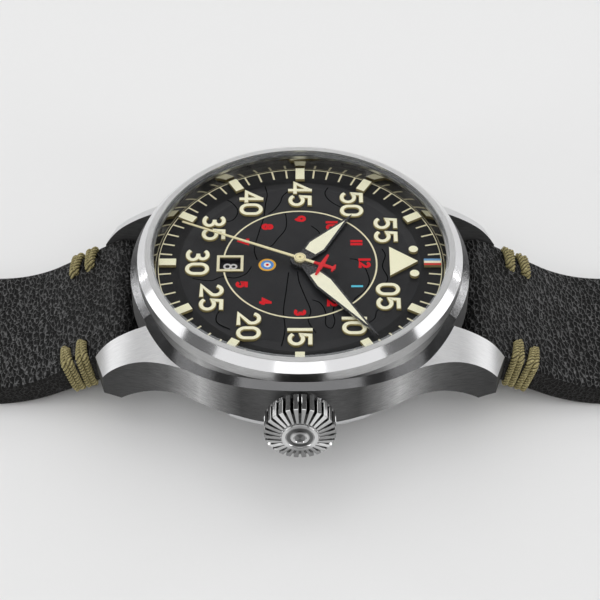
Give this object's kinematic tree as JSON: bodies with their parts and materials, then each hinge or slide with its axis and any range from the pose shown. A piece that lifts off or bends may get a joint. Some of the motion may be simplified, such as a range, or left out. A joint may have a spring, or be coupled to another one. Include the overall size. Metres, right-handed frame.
{
  "type": "pilot watch",
  "caption": "Round pilot's wristwatch with a stepped bezel, sword hands, raised minute numerals, fluted crown and a laced two-piece leather strap laid flat.",
  "frame": {"origin": "centre of the case back's flat outer face", "axes": "+Z out of the dial towards the wearer's eye, +Y towards 12 o'clock, +X towards 3 o'clock and the crown"},
  "size_m": [0.047, 0.2485, 0.0181],
  "materials": {
    "steel_brushed": "lengthwise brushed steel",
    "steel_polished": "polished steel",
    "glass": "clear, coated inside",
    "gasket": "matte black",
    "dial_black": "matte black lacquer",
    "marker_cream": "cream luminous paint",
    "hand_black": "satin black",
    "hand_cream": "cream luminous fill",
    "holder_plastic": "moulded",
    "brass": "fine turned",
    "plate_nickel": "nickel plated",
    "wheel_steel": "polished arbors",
    "magnet": "plain",
    "copper_coil": "enamelled winding",
    "battery_steel": "plain",
    "board_green": "solder mask",
    "chip_black": "epoxy",
    "date_white": "matte black with white numbers",
    "leather_black": "strongly grained, matte",
    "cord_khaki": "waxed cord"
  },
  "bodies": {
    "case": {"case_middle": "steel_brushed", "bezel": "steel_polished", "crystal": "glass", "crystal_gasket": "gasket", "rehaut_ring": "dial_black", "dial": "dial_black", "dial_markers": "marker_cream", "date_window_frame": "hand_black", "movement_holder": "holder_plastic", "main_plate": "plate_nickel", "train_bridge": "plate_nickel", "circuit_board": "board_green", "circuit_chip": "chip_black", "quartz_can": "steel_polished", "coil_block": "copper_coil", "stator": "wheel_steel", "battery": "battery_steel", "battery_strap": "wheel_steel", "movement_screws": "wheel_steel", "case_back": "steel_brushed", "back_gasket": "gasket", "crown_tube": "steel_polished", "spring_bars": "wheel_steel"},
    "clutch": {"clutch_wheel": "wheel_steel"},
    "crown": {"crown": "steel_polished", "stem": "wheel_steel", "crown_seal": "gasket"},
    "setting_lever": {"setting_lever": "wheel_steel"},
    "hour_hand": {"hour_hand": "hand_black", "hour_hand_lume": "hand_cream", "hour_wheel": "brass"},
    "minute_hand": {"minute_hand": "hand_black", "minute_hand_lume": "hand_cream", "cannon_pinion": "wheel_steel"},
    "minute_wheel": {"minute_wheel": "brass"},
    "seconds_hand": {"seconds_hand": "hand_black", "seconds_wheel": "brass"},
    "third_wheel": {"third_wheel": "brass"},
    "centre_wheel": {"centre_wheel": "brass"},
    "fifth_wheel": {"fifth_wheel": "brass"},
    "step_rotor": {"step_rotor": "magnet"},
    "date_ring": {"date_ring": "date_white"},
    "strap_long": {"strap_long": "leather_black", "lacing_long": "cord_khaki"},
    "strap_short": {"strap_short": "leather_black", "lacing_short": "cord_khaki", "fixed_keeper": "leather_black", "buckle_bar": "wheel_steel"},
    "sliding_keeper": {"sliding_keeper": "leather_black"},
    "buckle": {"buckle_frame": "steel_brushed"},
    "tongue": {"buckle_tongue": "steel_polished"}
  },
  "joints": [
    {"name": "crown_turn", "type": "hinge", "parent": "case", "child": "clutch", "pos_m": [0.008, 0, 0.007], "axis": [1, 0, 0], "continuous": true},
    {"name": "crown_pull", "type": "slide", "parent": "clutch", "child": "crown", "axis": [1, 0, 0], "range_m": [0, 0.0012]},
    {"name": "setting_lever_swing", "type": "hinge", "parent": "case", "child": "setting_lever", "pos_m": [0.0109, 0.003, 0.0064], "axis": [0, 0, 1], "range_deg": [0, 23.2]},
    {"name": "minute_hand_turn", "type": "hinge", "parent": "case", "child": "minute_hand", "pos_m": [0, 0, 0.0101], "axis": [0, 0, -1], "continuous": true},
    {"name": "hour_hand_turn", "type": "hinge", "parent": "case", "child": "hour_hand", "pos_m": [0, 0, 0.0101], "axis": [0, 0, -1], "continuous": true},
    {"name": "minute_wheel_turn", "type": "hinge", "parent": "case", "child": "minute_wheel", "pos_m": [-0.00271, -0.00098, 0.0101], "axis": [0, 0, -1], "continuous": true},
    {"name": "seconds_hand_turn", "type": "hinge", "parent": "case", "child": "seconds_hand", "pos_m": [0, 0, 0.0101], "axis": [0, 0, -1], "continuous": true},
    {"name": "third_wheel_turn", "type": "hinge", "parent": "case", "child": "third_wheel", "pos_m": [-0.00264, 0.00264, 0.0101], "axis": [0, 0, -1], "continuous": true},
    {"name": "centre_wheel_turn", "type": "hinge", "parent": "case", "child": "centre_wheel", "pos_m": [0, 0, 0.0101], "axis": [0, 0, -1], "continuous": true},
    {"name": "fifth_wheel_turn", "type": "hinge", "parent": "case", "child": "fifth_wheel", "pos_m": [-0.00185, -0.0032, 0.0101], "axis": [0, 0, -1], "continuous": true},
    {"name": "step_rotor_turn", "type": "hinge", "parent": "case", "child": "step_rotor", "pos_m": [-0.00395, -0.00397, 0.0101], "axis": [0, 0, -1], "continuous": true},
    {"name": "date_ring_turn", "type": "hinge", "parent": "case", "child": "date_ring", "pos_m": [0, 0, 0.0101], "axis": [0, 0, -1], "continuous": true},
    {"name": "strap_long_swing", "type": "hinge", "parent": "case", "child": "strap_long", "pos_m": [0, -0.0223, 0.0031], "axis": [-1, 0, 0], "range_deg": [-65, 55]},
    {"name": "strap_short_swing", "type": "hinge", "parent": "case", "child": "strap_short", "pos_m": [0, 0.0223, 0.0031], "axis": [1, 0, 0], "range_deg": [-65, 55]},
    {"name": "keeper_slide", "type": "slide", "parent": "strap_short", "child": "sliding_keeper", "axis": [0, 1, 0], "range_m": [-0.007, 0.006]},
    {"name": "buckle_swing", "type": "hinge", "parent": "strap_short", "child": "buckle", "pos_m": [0, 0.0953, -0.00292], "axis": [1, 0, 0], "range_deg": [-60, 45]},
    {"name": "tongue_swing", "type": "hinge", "parent": "buckle", "child": "tongue", "pos_m": [0, 0.0953, -0.00292], "axis": [1, 0, 0], "range_deg": [0, 85]}
  ],
  "couplings": [
    {"joint": "setting_lever_swing", "follows": "crown_pull", "rad_per_m": 333.33},
    {"joint": "hour_hand_turn", "follows": "minute_hand_turn", "ratio": 0.083333},
    {"joint": "minute_wheel_turn", "follows": "minute_hand_turn", "ratio": -0.33333},
    {"joint": "third_wheel_turn", "follows": "seconds_hand_turn", "ratio": -0.13333},
    {"joint": "centre_wheel_turn", "follows": "seconds_hand_turn", "ratio": 0.016667},
    {"joint": "fifth_wheel_turn", "follows": "seconds_hand_turn", "ratio": -5},
    {"joint": "step_rotor_turn", "follows": "seconds_hand_turn", "ratio": 30}
  ]
}
